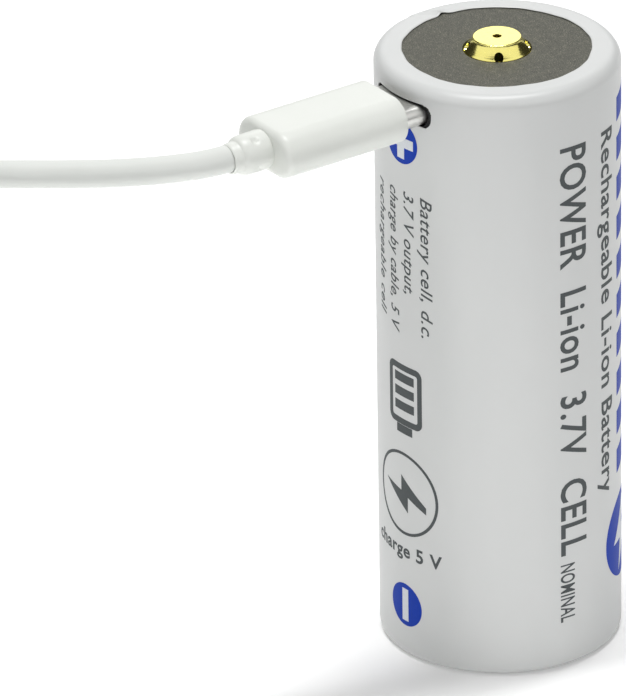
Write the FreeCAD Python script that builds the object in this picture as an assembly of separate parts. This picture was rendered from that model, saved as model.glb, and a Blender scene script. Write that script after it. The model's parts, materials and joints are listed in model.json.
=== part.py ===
"""Cylindrical rechargeable battery cell with a charging port and its charging cable.

Millimetres, +Z up.  The origin is the centre of the negative end, on the surface that the
cell stands on.  The charging port faces -Y and the cable leaves it along -Y.
Every sub-part is one closed solid, or a group of equal solids, in its own STEP file.
"""
import FreeCAD, Part
import math
import os

from FreeCAD import Vector

# ---------------------------------------------------------------- driving dimensions
WRAP_RADIUS = 13.3            # outside of the printed shrink sleeve
WRAP_WALL = 0.12
CELL_HEIGHT = 70.7            # negative land to the top of the positive button
WASHER_TOP = 69.28
LIP_RADIUS = 10.29            # opening of the sleeve round the washer
LIP_GAP = 0.02
SHOULDER_ROUND = 1.4
HEEL_ROUND = 0.9

BUTTON_TOP_RADIUS = 2.54
BUTTON_BASE_RADIUS = 3.55
BUTTON_WALL = 0.4
BUTTON_HOLE_RADIUS = 0.45
BUTTON_FLANGE_RADIUS = 5.0

STRIP_THICKNESS = 0.1
CAN_RADIUS = 13.05
CAN_WALL = 0.25
CAN_BOTTOM = 0.55
CAN_TOP = 63.2
BEAD_HEIGHT = 57.9

ROLL_START_RADIUS = 1.75
ROLL_TURNS = 7
ELECTRODE_THICKNESS = 0.45
SEPARATOR_THICKNESS = 0.12
LAYER_GAP = 0.05
ROLL_BOTTOM = 1.9
ROLL_TOP = 55.6

PORT_HEIGHT = 66.1            # centre line of the charging port and of its plug
RECEPTACLE_MOUTH = -11.6
RECEPTACLE_BACK = -5.0
BOARD_RADIUS = 11.3
BOARD_THICKNESS = 0.8
LINK_X = 5.2                  # where the positive link passes through the board
LINK_Y = 0.4
HOUSING_RADIUS = 13.1
HOUSING_BOTTOM = 63.45
HOUSING_TOP = 69.2

GRIP_FACE = -15.2             # front face of the plug's grip, plug part-way into the port
GRIP_WIDTH = 9.8
GRIP_THICKNESS = 5.2
GRIP_LENGTH = 15.6
PLUG_SHELL_LENGTH = 6.65
COLLAR_RADIUS = 2.2
COLLAR_LENGTH = 4.5
CABLE_DIAMETER = 3.0

COIL_X = -2.0
COIL_Y = -91.5
COIL_INNER_RADIUS = 13.5
COIL_OUTER_RADIUS = 19.5
COIL_HEIGHT = 6.0

SUPPLY_X = COIL_X - 15.4      # the cable's far plug, lying on the coil
SUPPLY_REAR = COIL_Y + 1.1
SUPPLY_Z = 9.85
SUPPLY_WIDTH = 16.0
SUPPLY_THICKNESS = 7.6
SUPPLY_LENGTH = 18.0
SUPPLY_SHELL_LENGTH = 12.0

# Route of the cable's free stretches, chosen by hand.
RUN_ROUTE = [
    (0.0, -30.8, 66.1),
    (0.0, -36.6, 66.1),
    (-1.95, -42.3, 66.1),
    (-5.15, -48.05, 66.1),
    (-10.2, -54.8, 66.1),
    (-14.9, -60.9, 66.1),
    (-18.55, -66.0, 63.6),
    (-21.3, -70.0, 58.8),
    (-22.7, -72.4, 52.6),
    (-23.05, -73.5, 41.7),
    (-23.0, -73.9, 29.2),
    (-23.1, -74.2, 16.5),
    (-22.9, -76.7, 9.9),
    (-22.3, -81.5, 4.8),
    (-21.2, -87.9, 1.9),
    (-19.8, -94.8, 1.55),
]
TAIL_ROUTE = [
    (16.0, -90.4, 4.5),
    (16.0, -76.6, 3.8),
    (6.2, -66.8, 3.2),
    (-7.6, -66.8, 6.0),
    (-17.4, -76.6, 9.85),
    (-17.4, -90.4, 9.85),
]

UP = Vector(0, 0, 1)
OUT = Vector(0, -1, 0)


# ---------------------------------------------------------------- building blocks
def save(shape, node):
    """Write one sub-part and say its volume."""
    bounds = shape.BoundBox
    print(f"{node:22s} {shape.Volume:10.3f} mm3  solids {len(shape.Solids):2d}  valid {shape.isValid()}"
          f"  z {bounds.ZMin:.3f}..{bounds.ZMax:.3f}")
    shape.exportStep(f"parts/{node}.step")


def drum(radius, bottom, top, x=0.0, y=0.0):
    """Upright cylinder between two heights."""
    return Part.makeCylinder(radius, top - bottom, Vector(x, y, bottom), UP)


def ring(outer, inner, bottom, top):
    """Flat upright ring."""
    return drum(outer, bottom, top).cut(drum(inner, bottom - 1, top + 1))


def rod(radius, front, back, x=0.0, z=PORT_HEIGHT):
    """Cylinder along -Y from the height z, between the y values front and back."""
    return Part.makeCylinder(radius, front - back, Vector(x, front, z), OUT)


def block(x_size, y_size, z_size, x=0.0, y=0.0, bottom=0.0):
    """Box centred on x and y, standing on the height bottom."""
    return Part.makeBox(x_size, y_size, z_size, Vector(x - x_size / 2, y - y_size / 2, bottom))


def bar(width, thickness, front, back, corner=None, x=0.0, z=PORT_HEIGHT):
    """Bar along Y with rounded corners, fully round ends when no corner radius is given."""
    radius = thickness / 2 if corner is None else corner
    solid = Part.makeBox(width, front - back, thickness,
                         Vector(x - width / 2, back, z - thickness / 2))
    if corner is not None:
        return solid.makeFillet(radius, along_edges(solid, OUT))
    core = Part.makeBox(width - thickness, front - back, thickness,
                        Vector(x - width / 2 + radius, back, z - radius))
    left = rod(radius, front, back, x - width / 2 + radius, z)
    right = rod(radius, front, back, x + width / 2 - radius, z)
    return core.fuse([left, right]).removeSplitter()


def along_edges(solid, direction):
    """The straight edges of a solid that run along a direction."""
    chosen = []
    for edge in solid.Edges:
        if len(edge.Vertexes) == 2 and isinstance(edge.Curve, Part.Line):
            span = (edge.Vertexes[1].Point - edge.Vertexes[0].Point).normalize()
            if abs(span.dot(direction)) > 0.999:
                chosen.append(edge)
    return chosen


def rim_edges(solid, coordinate, value):
    """Edges that lie wholly in the plane where a coordinate ("x", "y" or "z") has a value."""
    low = f"{coordinate.upper()}Min"
    high = f"{coordinate.upper()}Max"
    return [edge for edge in solid.Edges
            if abs(getattr(edge.BoundBox, low) - value) < 1e-4
            and abs(getattr(edge.BoundBox, high) - value) < 1e-4]


def turned(points):
    """Solid of revolution about Z from a closed outline of (radius, height) points."""
    corners = [Vector(radius, 0, height) for radius, height in points]
    outline = Part.makePolygon(corners + corners[:1])
    return Part.Face(outline).revolve(Vector(0, 0, 0), UP, 360)


def rounded_drum(radius, bottom, top, heel, shoulder):
    """Cylinder with a rounded lower and upper edge."""
    solid = drum(radius, bottom, top)
    if heel > 0:
        solid = solid.makeFillet(heel, rim_edges(solid, "z", bottom))
    if shoulder > 0:
        solid = solid.makeFillet(shoulder, rim_edges(solid, "z", top))
    return solid


def group(solids):
    """Several separate solids that are saved in one node."""
    return Part.makeCompound(solids)


# ---------------------------------------------------------------- sleeve and ends
def wrap_sleeve():
    """Printed shrink sleeve, folded over both ends, with the port's slot cut through it."""
    bottom = 0.05
    top = WASHER_TOP + LIP_GAP + WRAP_WALL
    outside = rounded_drum(WRAP_RADIUS, bottom, top, HEEL_ROUND, SHOULDER_ROUND)
    inside = rounded_drum(WRAP_RADIUS - WRAP_WALL, bottom + WRAP_WALL, top - WRAP_WALL,
                          HEEL_ROUND - WRAP_WALL, SHOULDER_ROUND - WRAP_WALL)
    foot_hole = drum(9.3, bottom - 1, bottom + 1)
    head_hole = drum(LIP_RADIUS, top - 1, top + 1)
    slot = bar(9.8, 2.6, -10.0, -15.0)
    return outside.cut([inside, foot_hole, head_hole, slot])


def top_washer():
    """Insulating washer round the positive button."""
    return ring(11.9, BUTTON_BASE_RADIUS + 0.2, WASHER_TOP - 0.5, WASHER_TOP)


def positive_button():
    """Pressed contact cap: flared side, flat top with a hole, four vents, soldering flange."""
    outline = [
        (BUTTON_HOLE_RADIUS, CELL_HEIGHT),
        (BUTTON_TOP_RADIUS - 0.15, CELL_HEIGHT),
        (BUTTON_TOP_RADIUS, CELL_HEIGHT - 0.15),
        (BUTTON_TOP_RADIUS + 0.1, CELL_HEIGHT - 0.55),
        (BUTTON_TOP_RADIUS + 0.42, CELL_HEIGHT - 1.02),
        (BUTTON_BASE_RADIUS, WASHER_TOP + 0.06),
        (BUTTON_BASE_RADIUS, WASHER_TOP - 0.53),
        (BUTTON_FLANGE_RADIUS, WASHER_TOP - 0.53),
        (BUTTON_FLANGE_RADIUS, WASHER_TOP - 0.9),
        (BUTTON_BASE_RADIUS - BUTTON_WALL, WASHER_TOP - 0.9),
        (BUTTON_BASE_RADIUS - BUTTON_WALL, WASHER_TOP - 0.1),
        (BUTTON_TOP_RADIUS - BUTTON_WALL, CELL_HEIGHT - 0.8),
        (BUTTON_TOP_RADIUS - BUTTON_WALL, CELL_HEIGHT - BUTTON_WALL),
        (BUTTON_HOLE_RADIUS, CELL_HEIGHT - BUTTON_WALL),
    ]
    cap = turned(outline)
    for number in range(4):
        vent = Part.makeCylinder(BUTTON_HOLE_RADIUS, 3.0, Vector(2.2, 0, WASHER_TOP + 0.12), Vector(1, 0, 0))
        vent.rotate(Vector(0, 0, 0), UP, 90 * number - 33)
        cap = cap.cut(vent)
    return cap


def contact_post():
    """Brass sleeve that carries the button on the board."""
    return ring(2.6, 1.7, PORT_HEIGHT + BOARD_THICKNESS / 2, WASHER_TOP - 0.9)


def negative_plate():
    """Pressed nickel-plated disc with the land that the cell stands on."""
    plate = turned([(0, 0), (8.6, 0), (8.9, 0.2), (11.6, 0.2), (11.6, 0.5), (0, 0.5)])
    dimple = turned([(0, -1), (1.1, -1), (1.1, 0.06), (0.9, 0.12), (0, 0.12)])
    return plate.cut(dimple)


def negative_strip():
    """Nickel strip that runs up the can from the negative plate to the board."""
    near = CAN_RADIUS + 0.01
    far = near + STRIP_THICKNESS
    head = PORT_HEIGHT - BOARD_THICKNESS / 2 - 0.02
    hoop = turned([
        (11.62, 0.3), (12.6, 0.3), (far, 0.95), (far, head), (10.0, head),
        (10.0, head - STRIP_THICKNESS), (near, head - STRIP_THICKNESS), (near, 1.0),
        (12.55, 0.4), (11.62, 0.4),
    ])
    return hoop.common(block(8.0, 4.0, 70, -12.0, 0))


# ---------------------------------------------------------------- steel cell
def steel_can():
    """Deep-drawn can with the rolled bead and the crimped rim."""
    wall_inner = CAN_RADIUS - CAN_WALL
    outline = [
        (0, CAN_BOTTOM),
        (CAN_RADIUS - 0.5, CAN_BOTTOM),
        (CAN_RADIUS, CAN_BOTTOM + 0.5),
        (CAN_RADIUS, BEAD_HEIGHT - 0.9),
        (CAN_RADIUS - 1.0, BEAD_HEIGHT - 0.25),
        (CAN_RADIUS - 1.0, BEAD_HEIGHT + 0.25),
        (CAN_RADIUS, BEAD_HEIGHT + 0.9),
        (CAN_RADIUS, CAN_TOP - 0.4),
        (CAN_RADIUS - 0.4, CAN_TOP),
        (CAN_RADIUS - 2.2, CAN_TOP),
        (CAN_RADIUS - 2.2, CAN_TOP - CAN_WALL),
        (wall_inner - 0.3, CAN_TOP - CAN_WALL),
        (wall_inner, CAN_TOP - CAN_WALL - 0.3),
        (wall_inner, BEAD_HEIGHT + 1.05),
        (wall_inner - 1.0, BEAD_HEIGHT + 0.4),
        (wall_inner - 1.0, BEAD_HEIGHT - 0.4),
        (wall_inner, BEAD_HEIGHT - 1.05),
        (wall_inner, CAN_BOTTOM + 0.6),
        (wall_inner - 0.3, CAN_BOTTOM + 0.3),
        (0, CAN_BOTTOM + 0.3),
    ]
    return turned(outline)


def crimp_gasket():
    """Plastic gasket clamped between the can's rim and the header."""
    outer = CAN_RADIUS - CAN_WALL - 0.03
    outline = [
        (outer - 0.3, 59.0),
        (outer, 59.3),
        (outer, CAN_TOP - CAN_WALL - 0.4),
        (outer - 0.35, CAN_TOP - CAN_WALL - 0.03),
        (CAN_RADIUS - 2.2, CAN_TOP - CAN_WALL - 0.03),
        (CAN_RADIUS - 2.2, CAN_TOP - CAN_WALL - 0.45),
        (outer - 0.5, CAN_TOP - CAN_WALL - 0.45),
        (outer - 0.5, 59.42),
        (10.4, 59.42),
        (10.4, 59.0),
    ]
    return turned(outline)


def header_stack():
    """The sealed header's discs, from the cap down: name and solid of each."""
    rim = 12.2
    cap_top = CAN_TOP - CAN_WALL - 0.47
    cap = turned([
        (0, cap_top + 0.35), (4.2, cap_top + 0.35), (5.0, cap_top - 0.1), (5.4, cap_top - 0.38),
        (7.0, cap_top - 0.38), (7.4, cap_top), (rim, cap_top), (rim, cap_top - 0.5),
        (7.6, cap_top - 0.5), (7.2, cap_top - 0.78), (5.1, cap_top - 0.78), (4.6, cap_top - 0.4),
        (4.0, cap_top - 0.05), (0, cap_top - 0.05),
    ])
    thermal_ring = ring(rim, 8.2, cap_top - 0.92, cap_top - 0.52)
    vent_top = cap_top - 0.94
    vent = turned([
        (0, vent_top - 0.75), (4.0, vent_top - 0.75), (6.5, vent_top - 0.3), (7.6, vent_top),
        (rim, vent_top), (rim, vent_top - 0.3), (7.9, vent_top - 0.3), (6.9, vent_top - 0.6),
        (4.4, vent_top - 1.05), (0, vent_top - 1.05),
    ])
    insulator = ring(rim, 9.2, vent_top - 0.92, vent_top - 0.32)
    interrupt = ring(rim, 1.2, vent_top - 1.34, vent_top - 1.07)
    rim_lift = ring(rim, 9.3, vent_top - 1.07, vent_top - 0.94)
    return {
        "cell_cap": cap,
        "thermal_ring": thermal_ring,
        "vent_disc": vent,
        "header_insulator": insulator,
        "interrupt_disc": interrupt.fuse(rim_lift).removeSplitter(),
    }


def spiral_layer(start, thickness):
    """One wound layer: half circles about two centres, so that every layer nests.

    The pitch is one full set of layers.  Upper half circles are centred on the axis and lower
    ones half a pitch to the side, which makes each turn one pitch wider than the last.
    """
    pitch = 2 * (ELECTRODE_THICKNESS + SEPARATOR_THICKNESS) + 4 * LAYER_GAP

    def half_circles(offset):
        arcs = []
        for turn in range(ROLL_TURNS):
            upper = ROLL_START_RADIUS + turn * pitch + offset
            lower = upper + pitch / 2
            arcs.append(Part.Arc(Vector(upper, 0, 0), Vector(0, upper, 0), Vector(-upper, 0, 0)).toShape())
            arcs.append(Part.Arc(Vector(-upper, 0, 0), Vector(pitch / 2, -lower, 0),
                                 Vector(lower + pitch / 2, 0, 0)).toShape())
        return arcs

    inner = half_circles(start)
    outer = half_circles(start + thickness)
    end = start + ROLL_START_RADIUS + ROLL_TURNS * pitch
    near_cap = Part.makeLine(Vector(ROLL_START_RADIUS + start, 0, 0),
                             Vector(ROLL_START_RADIUS + start + thickness, 0, 0))
    far_cap = Part.makeLine(Vector(end, 0, 0), Vector(end + thickness, 0, 0))
    outline = Part.Wire(Part.__sortEdges__(inner + outer + [near_cap, far_cap]))
    layer = Part.Face(outline).extrude(Vector(0, 0, ROLL_TOP - ROLL_BOTTOM))
    layer.translate(Vector(0, 0, ROLL_BOTTOM))
    return layer


def wound_roll():
    """The four wound layers, from the inside of each turn outwards."""
    step = ELECTRODE_THICKNESS + LAYER_GAP
    gap = SEPARATOR_THICKNESS + LAYER_GAP
    return {
        "cathode_roll": spiral_layer(0.0, ELECTRODE_THICKNESS),
        "inner_separator": spiral_layer(step, SEPARATOR_THICKNESS),
        "anode_roll": spiral_layer(step + gap, ELECTRODE_THICKNESS),
        "outer_separator": spiral_layer(2 * step + gap, SEPARATOR_THICKNESS),
    }


def roll_fittings():
    """Core pin, end insulators and the two current tabs."""
    upper_disc = ring(11.7, 2.4, 56.3, 56.55)
    lower_disc = ring(12.3, 2.4, 1.35, 1.6)
    upper_disc = upper_disc.cut(block(4.4, 0.5, 2, 0, 6.0, 55.5))
    lower_disc = lower_disc.cut(block(4.4, 0.5, 2, 0, -6.0, 0.5))
    return {
        "upper_insulator": upper_disc,
        "lower_insulator": lower_disc,
        "core_pin": ring(1.5, 1.1, 1.7, 56.0),
        "positive_tab": bent_tab(6.0, 55.65, 59.75),
        "negative_tab": bent_tab(-6.0, 0.92, 1.85),
    }


def bent_tab(y, bottom, top):
    """Thin strip that rises from the roll and folds towards the axis."""
    riser = block(4.0, 0.12, top - bottom, 0, y, bottom)
    fold_height = top - 0.12 if y > 0 else bottom
    fold = block(4.0, 5.0, 0.12, 0, y - math.copysign(2.44, y), fold_height)
    return riser.fuse(fold).removeSplitter()


# ---------------------------------------------------------------- charging module
def port_housing():
    """Moulded cup that holds the board, the receptacle and the washer."""
    board_under = PORT_HEIGHT - BOARD_THICKNESS / 2
    washer_under = WASHER_TOP - 0.5
    body = rounded_drum(HOUSING_RADIUS, HOUSING_BOTTOM, HOUSING_TOP, 0.0, SHOULDER_ROUND - 0.2)
    lower_bore = drum(10.7, HOUSING_BOTTOM + 0.6, board_under)
    board_bore = drum(BOARD_RADIUS + 0.05, board_under, washer_under)
    washer_bore = drum(11.95, washer_under, HOUSING_TOP + 1)
    link_hole = drum(6.4, HOUSING_BOTTOM - 1, HOUSING_BOTTOM + 1)
    pocket = bar(9.1, 3.3, -9.0, RECEPTACLE_MOUTH - 0.1)
    mouth = bar(8.7, 2.75, -9.0, -15.0)
    strip_relief = block(0.6, 4.3, 2.4, -HOUSING_RADIUS, 0, HOUSING_BOTTOM - 0.1)
    strip_window = block(4.0, 4.3, 0.4, -11.6, 0, board_under - 0.2)
    return body.cut([lower_bore, board_bore, washer_bore, link_hole, pocket, mouth, strip_relief,
                     strip_window])


def module_insulator():
    """Fish-paper ring between the crimped rim and the module."""
    return ring(12.7, 6.6, CAN_TOP + 0.02, CAN_TOP + 0.2)


def charge_board():
    """Round circuit board with the notch for its sunk receptacle."""
    bottom = PORT_HEIGHT - BOARD_THICKNESS / 2
    disc = drum(BOARD_RADIUS, bottom, bottom + BOARD_THICKNESS)
    notch = block(9.2, 8.0, 2, 0, -8.8, bottom - 0.5)
    link_slot = block(2.6, 0.5, 2, LINK_X, LINK_Y, bottom - 0.5)
    return disc.cut([notch, link_slot])


def receptacle_shell():
    """Drawn shell of the receptacle with four soldering legs on the board."""
    tube = bar(8.94, 3.16, RECEPTACLE_BACK, RECEPTACLE_MOUTH)
    tube = tube.cut(bar(8.34, 2.56, RECEPTACLE_BACK + 1, RECEPTACLE_MOUTH - 1))
    legs = []
    for side in (-1, 1):
        for y in (-8.9, -6.2):
            legs.append(block(1.5, 1.1, 0.25, side * 4.9, y, PORT_HEIGHT + BOARD_THICKNESS / 2))
    return tube.fuse(legs).removeSplitter()


def receptacle_tongue():
    """Contact tongue on its moulded base."""
    tongue = bar(6.6, 0.66, -5.9, -11.2, corner=0.15)
    base = bar(8.3, 2.5, RECEPTACLE_BACK - 0.05, -5.95)
    return tongue.fuse(base).removeSplitter()


def contact_rows(width, length, thickness, front, rise, lanes=12, pitch=0.5):
    """Two rows of contact strips, above and below the port's centre line."""
    strips = []
    for lane in range(lanes):
        x = (lane - (lanes - 1) / 2) * pitch
        for side in (-1, 1):
            low = rise if side > 0 else -rise - thickness
            strips.append(block(width, length, thickness, x, front - length / 2, PORT_HEIGHT + low))
    return group(strips)


def board_parts():
    """Chips, inductor and small parts soldered to the board."""
    top = PORT_HEIGHT + BOARD_THICKNESS / 2
    under = PORT_HEIGHT - BOARD_THICKNESS / 2
    coil_body = drum(2.3, top, top + 1.6, 5.6, 4.9)
    coil_base = block(4.8, 4.8, 0.4, 5.6, 4.9, top)
    capacitors = [block(1.6, 0.8, 0.8, -3.0 + 2.2 * place, 8.6, top) for place in range(3)]
    capacitors += [block(0.8, 1.6, 0.8, -9.0 + 1.4 * place, -3.0, top) for place in range(3)]
    resistors = [block(1.0, 0.5, 0.35, -3.4 + 1.6 * place, 6.9, top) for place in range(4)]
    resistors += [block(0.5, 1.0, 0.35, 7.0 + 1.0 * place, -0.6, top) for place in range(3)]
    chip = block(4.0, 4.0, 0.85, -5.6, 2.6, top)
    pin_mark = drum(0.25, top + 0.8, top + 1.0, -7.1, 4.1)
    return {
        "charge_chip": chip.cut(pin_mark),
        "power_inductor": coil_base.fuse(coil_body).removeSplitter(),
        "protection_switches": group([block(3.0, 3.0, 0.9, x, 4.5, under - 0.9) for x in (-5.0, 0.6)]),
        "board_capacitors": group(capacitors),
        "board_resistors": group(resistors),
        "status_lights": group([block(0.8, 1.6, 0.5, side * 6.5, -8.0, top) for side in (-1, 1)]),
    }


def positive_link():
    """Nickel strip from the header's cap up through the board."""
    cap_face = CAN_TOP - CAN_WALL - 0.47 + 0.35
    riser = block(2.2, 0.15, PORT_HEIGHT + 0.9 - cap_face, LINK_X, LINK_Y, cap_face)
    foot = block(6.0, 3.0, 0.15, LINK_X - 1.9, LINK_Y - 1.425, cap_face)
    return riser.fuse(foot).removeSplitter()


# ---------------------------------------------------------------- charging plug
def plug_shell():
    """Drawn steel tube of the plug."""
    back = GRIP_FACE - 3.0
    tip = GRIP_FACE + PLUG_SHELL_LENGTH
    tube = bar(8.25, 2.4, tip, back)
    tube = tube.makeFillet(0.1, rim_edges(tube, "y", tip))
    return tube.cut(bar(7.81, 1.96, tip + 1, back - 1))


def plug_liner():
    """Moulded liner of the plug with the slot that takes the tongue."""
    tip = GRIP_FACE + PLUG_SHELL_LENGTH - 0.1
    body = bar(7.77, 1.92, tip, GRIP_FACE - 2.6)
    slot = bar(6.95, 1.04, tip + 1, tip - 5.6, corner=0.1)
    return body.cut(slot)


def plug_grip():
    """Moulded grip with its pocket for the shell, the card and the wires."""
    back = GRIP_FACE - GRIP_LENGTH
    body = bar(GRIP_WIDTH, GRIP_THICKNESS, GRIP_FACE, back)
    body = body.makeFillet(0.9, rim_edges(body, "y", back))
    body = body.makeFillet(0.35, rim_edges(body, "y", GRIP_FACE))
    mouth = bar(8.25, 2.4, GRIP_FACE + 1, GRIP_FACE - 3.0)
    cavity = bar(8.0, 3.2, GRIP_FACE - 3.0, back + 2.6, corner=0.4)
    throat = rod(CABLE_DIAMETER / 2, back + 3, back - 1)
    return body.cut([mouth, cavity, throat])


def plug_card():
    """Small circuit board inside the grip."""
    return block(7.4, 8.6, 0.8, 0, GRIP_FACE - 7.4, PORT_HEIGHT - 0.4)


def wire_pair(front, back, x=0.0, z=PORT_HEIGHT, spread=0.6, lift=0.85):
    """The cable's two power wires, stripped of the jacket."""
    return group([rod(0.4, front, back, x + side * spread, z + lift) for side in (-1, 1)])


def strain_collar(front, x=0.0, z=PORT_HEIGHT):
    """Collar round the cable, stepped and cut with short relief slots."""
    back = front - COLLAR_LENGTH
    body = rod(COLLAR_RADIUS, front, back, x, z)
    body = body.makeFillet(0.35, rim_edges(body, "y", back))
    bore = rod(CABLE_DIAMETER / 2, front + 1, back - 1, x, z)
    groove = rod(COLLAR_RADIUS + 1, front - 1.3, front - 1.75, x, z)
    groove = groove.cut(rod(COLLAR_RADIUS - 0.3, front, back, x, z))
    slots = []
    for number in range(4):
        slot = block(1.9, 0.5, 1.0, x, front - 2.9, z + COLLAR_RADIUS - 0.4)
        slot.rotate(Vector(x, 0, z), OUT, 90 * number + 45)
        slots.append(slot)
    return body.cut([bore, groove] + slots)


# ---------------------------------------------------------------- cable
def cable_tube(points, name):
    """Round cable along straight runs joined by tangent arcs.

    Each arc's radius is 0.45 of the shorter run divided by the tangent of half the turn.
    """
    corners = [Vector(*point) for point in points]
    share = 0.45
    edges = []
    radii = []
    start = corners[0]
    for before, corner, after in zip(corners, corners[1:], corners[2:]):
        arrive = (corner - before).normalize()
        leave = (after - corner).normalize()
        turn = arrive.getAngle(leave)
        reach = share * min(corner.distanceToPoint(before), corner.distanceToPoint(after))
        radius = reach / math.tan(turn / 2)
        enter = corner - arrive * reach
        depart = corner + leave * reach
        bisector = (leave - arrive).normalize()
        centre = corner + bisector * (radius / math.cos(turn / 2))
        middle = centre - bisector * radius
        edges.append(Part.LineSegment(start, enter).toShape())
        edges.append(Part.Arc(enter, middle, depart).toShape())
        radii.append(round(radius, 1))
        start = depart
    edges.append(Part.LineSegment(start, corners[-1]).toShape())
    path = Part.Wire(edges)
    section = Part.Wire(Part.makeCircle(CABLE_DIAMETER / 2, corners[0], corners[1] - corners[0]))
    tube = path.makePipe(Part.Face(section))
    expected = math.pi * (CABLE_DIAMETER / 2) ** 2 * path.Length
    print(f"{name}: length {path.Length:.1f}, arc radii {radii}, "
          f"volume {tube.Volume:.1f} against {expected:.1f}")
    return tube


def cable_coil():
    """Outer shape of the cable's neat round coil."""
    solid = drum(COIL_OUTER_RADIUS, 0, COIL_HEIGHT, COIL_X, COIL_Y)
    return solid.cut(drum(COIL_INNER_RADIUS, -1, COIL_HEIGHT + 1, COIL_X, COIL_Y))


# ---------------------------------------------------------------- supply plug
def supply_parts():
    """The flat plug at the cable's far end, from its collar to its contacts."""
    face = SUPPLY_REAR - SUPPLY_LENGTH
    tip = face - SUPPLY_SHELL_LENGTH
    grip = bar(SUPPLY_WIDTH, SUPPLY_THICKNESS, SUPPLY_REAR, face, 1.6, SUPPLY_X, SUPPLY_Z)
    grip = grip.makeFillet(0.8, rim_edges(grip, "y", SUPPLY_REAR) + rim_edges(grip, "y", face))
    pocket = bar(12.0, 4.5, face + 6.0, face - 1, 0.3, SUPPLY_X, SUPPLY_Z)
    cavity = bar(10.0, 4.0, face + 14.0, face + 5.0, 0.4, SUPPLY_X, SUPPLY_Z)
    throat = rod(CABLE_DIAMETER / 2, SUPPLY_REAR + 1, face + 13.0, SUPPLY_X, SUPPLY_Z)
    shell = bar(12.0, 4.5, face + 6.0, tip, 0.3, SUPPLY_X, SUPPLY_Z)
    shell = shell.cut(bar(11.4, 3.9, face + 7.0, tip - 1, 0.15, SUPPLY_X, SUPPLY_Z))
    holes = [drum(1.1, SUPPLY_Z - 3, SUPPLY_Z + 3, SUPPLY_X + side * 2.6, face - 6.0) for side in (-1, 1)]
    tongue = bar(11.2, 1.8, face + 5.8, tip + 0.4, 0.2, SUPPLY_X, SUPPLY_Z + 1.0)
    contact_lanes = [-3.5, -1.0, 1.0, 3.5]
    contacts = [block(1.0, 8.0, 0.08, SUPPLY_X + lane, tip + 1.4 + 4.0, SUPPLY_Z + 0.02)
                for lane in contact_lanes]
    return {
        "supply_collar": strain_collar(SUPPLY_REAR + COLLAR_LENGTH, SUPPLY_X, SUPPLY_Z),
        "supply_grip": grip.cut([pocket, cavity, throat]),
        "supply_shell": shell.cut(holes),
        "supply_tongue": tongue,
        "supply_contacts": group(contacts),
        "supply_wires": wire_pair(SUPPLY_REAR, face + 6.1, SUPPLY_X, SUPPLY_Z, 0.6, 0.0),
    }


# ---------------------------------------------------------------- all sub-parts
def build_all():
    """Write every sub-part."""
    os.makedirs("parts", exist_ok=True)
    nodes = {
        "wrap_sleeve": wrap_sleeve(),
        "top_washer": top_washer(),
        "positive_button": positive_button(),
        "contact_post": contact_post(),
        "negative_plate": negative_plate(),
        "negative_strip": negative_strip(),
        "steel_can": steel_can(),
        "crimp_gasket": crimp_gasket(),
        "module_insulator": module_insulator(),
        "port_housing": port_housing(),
        "charge_board": charge_board(),
        "receptacle_shell": receptacle_shell(),
        "receptacle_tongue": receptacle_tongue(),
        "receptacle_contacts": contact_rows(0.26, 4.6, 0.04, -6.2, 0.33),
        "positive_link": positive_link(),
        "plug_shell": plug_shell(),
        "plug_liner": plug_liner(),
        "plug_contacts": contact_rows(0.24, 4.2, 0.08, GRIP_FACE + 5.2, 0.44),
        "plug_card": plug_card(),
        "plug_wires": wire_pair(GRIP_FACE - 7.0, GRIP_FACE - GRIP_LENGTH),
        "plug_grip": plug_grip(),
        "plug_collar": strain_collar(GRIP_FACE - GRIP_LENGTH),
        "cable_run": cable_tube(RUN_ROUTE, "cable_run"),
        "cable_coil": cable_coil(),
        "cable_tail": cable_tube(TAIL_ROUTE, "cable_tail"),
    }
    nodes.update(header_stack())
    nodes.update(wound_roll())
    nodes.update(roll_fittings())
    nodes.update(board_parts())
    nodes.update(supply_parts())
    for name, shape in nodes.items():
        save(shape, name)
    print(len(nodes), "nodes")


build_all()
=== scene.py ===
"""Looks of a cylindrical battery cell whose side port holds the plug of a thin white cable.

Metres, in the model's own frame: +Z up, the origin at the centre of the negative end, the port
facing -Y.  Sizes come from the frame's boxes or are named here in millimetres times MM.
"""
import math

import bmesh
import bpy
import numpy as np
from mathutils import Matrix, Vector
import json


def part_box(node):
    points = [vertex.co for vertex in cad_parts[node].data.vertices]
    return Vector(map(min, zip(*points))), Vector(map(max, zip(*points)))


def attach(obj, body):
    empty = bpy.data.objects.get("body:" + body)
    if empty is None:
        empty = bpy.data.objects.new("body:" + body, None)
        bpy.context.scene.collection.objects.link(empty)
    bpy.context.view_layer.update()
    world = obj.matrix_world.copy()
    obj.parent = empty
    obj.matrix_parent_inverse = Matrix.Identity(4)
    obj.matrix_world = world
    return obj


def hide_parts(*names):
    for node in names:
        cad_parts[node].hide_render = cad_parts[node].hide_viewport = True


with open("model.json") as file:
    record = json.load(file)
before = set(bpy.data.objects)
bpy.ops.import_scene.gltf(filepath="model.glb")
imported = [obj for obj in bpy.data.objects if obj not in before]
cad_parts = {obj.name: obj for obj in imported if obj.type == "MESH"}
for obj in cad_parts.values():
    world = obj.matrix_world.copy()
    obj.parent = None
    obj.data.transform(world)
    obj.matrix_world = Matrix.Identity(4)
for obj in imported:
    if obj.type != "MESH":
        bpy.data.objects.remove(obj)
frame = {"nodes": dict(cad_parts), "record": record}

MM = 0.001
TAU = 2 * math.pi
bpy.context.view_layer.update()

# ---------------------------------------------------------------- camera
CAMERA_AZIMUTH = math.radians(55.0)
CAMERA_ELEVATION = math.radians(26.42)
CAMERA_ROLL = math.radians(-0.87)
CAMERA_DISTANCE = 1114.1 * MM
CAMERA_TARGET = Vector((-11.6, -16.56, 33.7)) * MM
CAMERA_LENS = 530.1


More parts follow.
